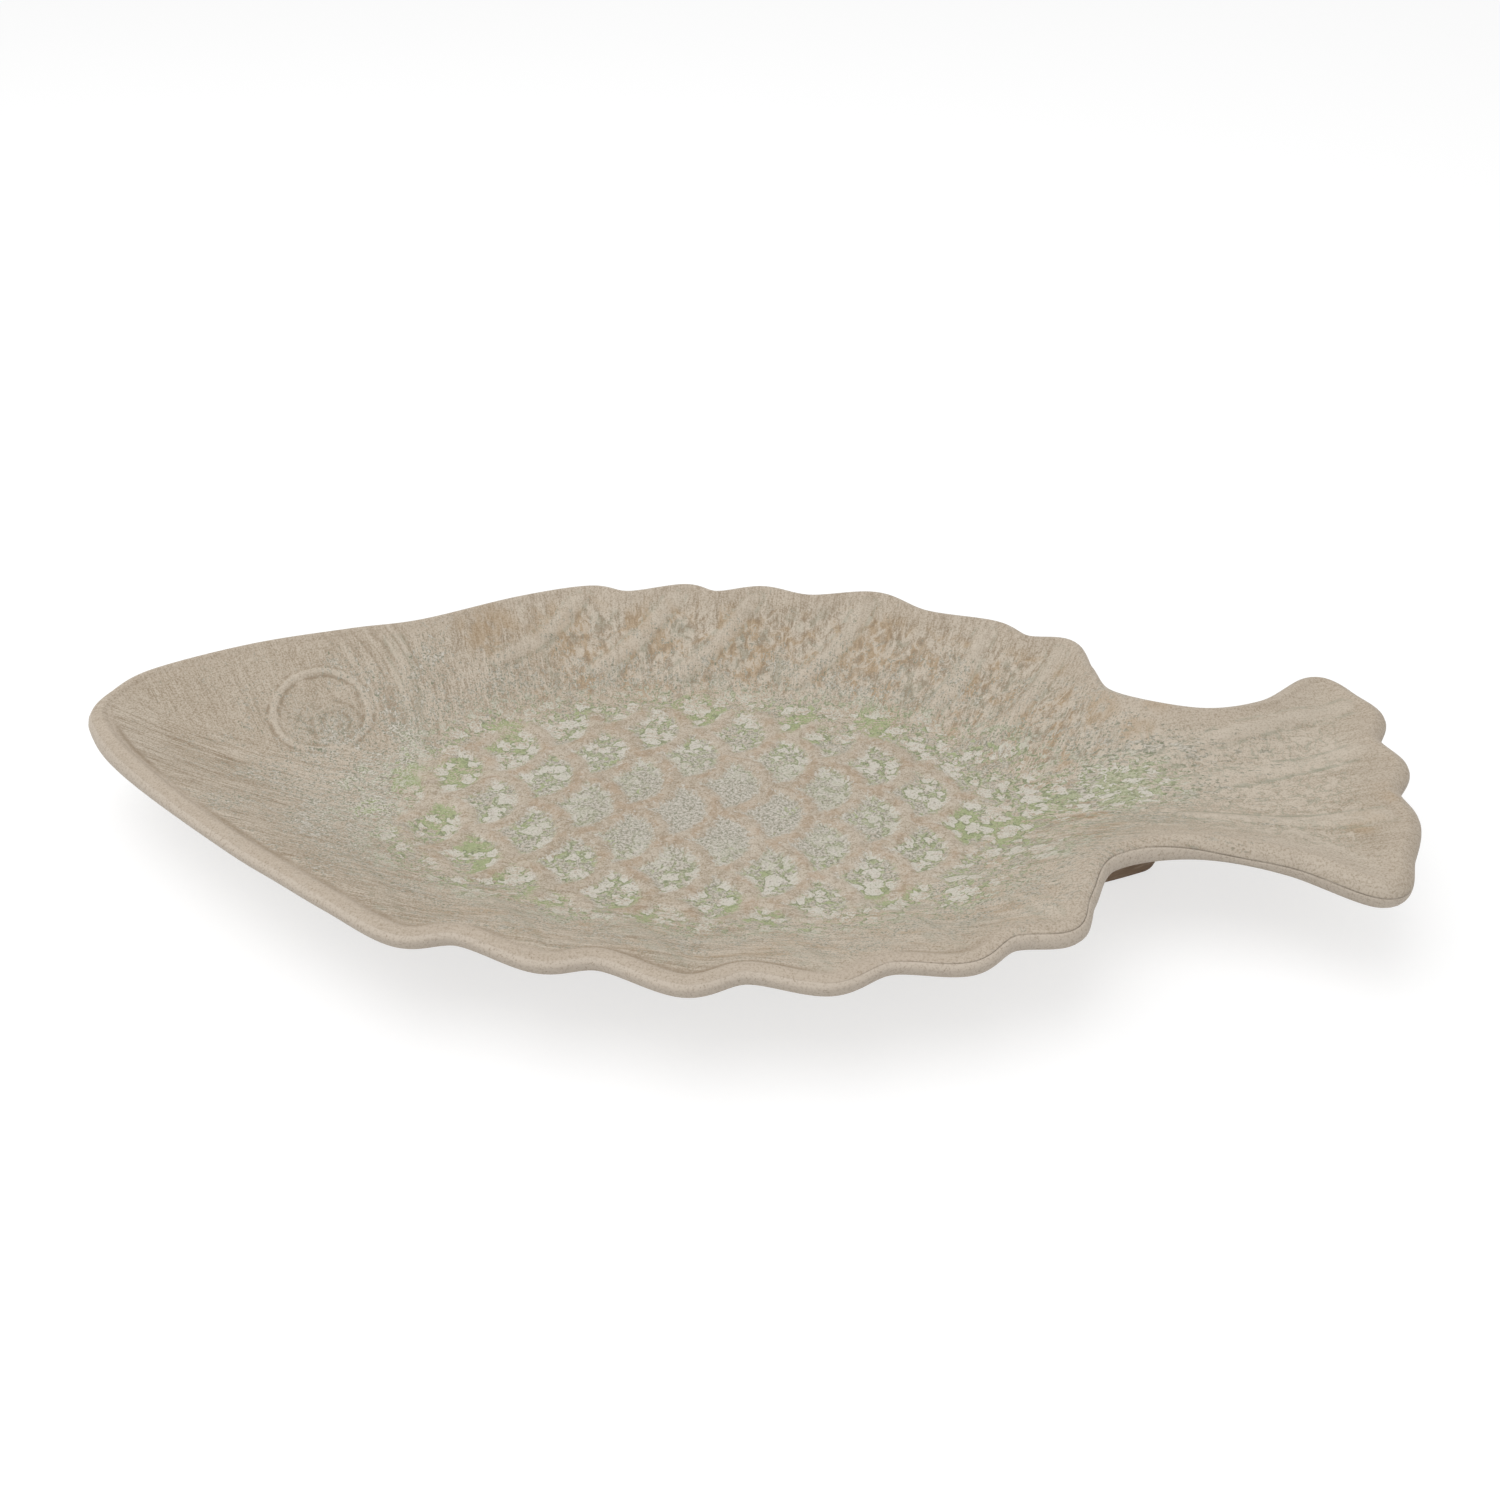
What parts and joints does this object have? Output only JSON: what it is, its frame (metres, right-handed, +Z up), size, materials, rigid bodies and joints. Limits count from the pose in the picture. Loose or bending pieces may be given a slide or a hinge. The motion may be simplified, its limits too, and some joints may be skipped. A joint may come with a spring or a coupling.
{
  "type": "fish shaped platter",
  "caption": "Stoneware serving platter in the shape of a fish, dished from a scalloped rim to a scaled well, standing on a leaf shaped foot ring.",
  "frame": {"origin": "on the table, under the middle of the platter's bounding box", "axes": "+X from the nose to the tail, +Y to the dorsal fin, +Z up"},
  "size_m": [0.3502, 0.1834, 0.031],
  "materials": {
    "stoneware": "matte beige glaze",
    "foot": "bare fired clay",
    "white_glaze": "satin",
    "green_glaze": "satin"
  },
  "bodies": {
    "root": {"stoneware_body": "stoneware", "foot_ring": "foot", "white_glaze_pools": "white_glaze", "green_glaze_pools": "green_glaze"}
  },
  "joints": []
}
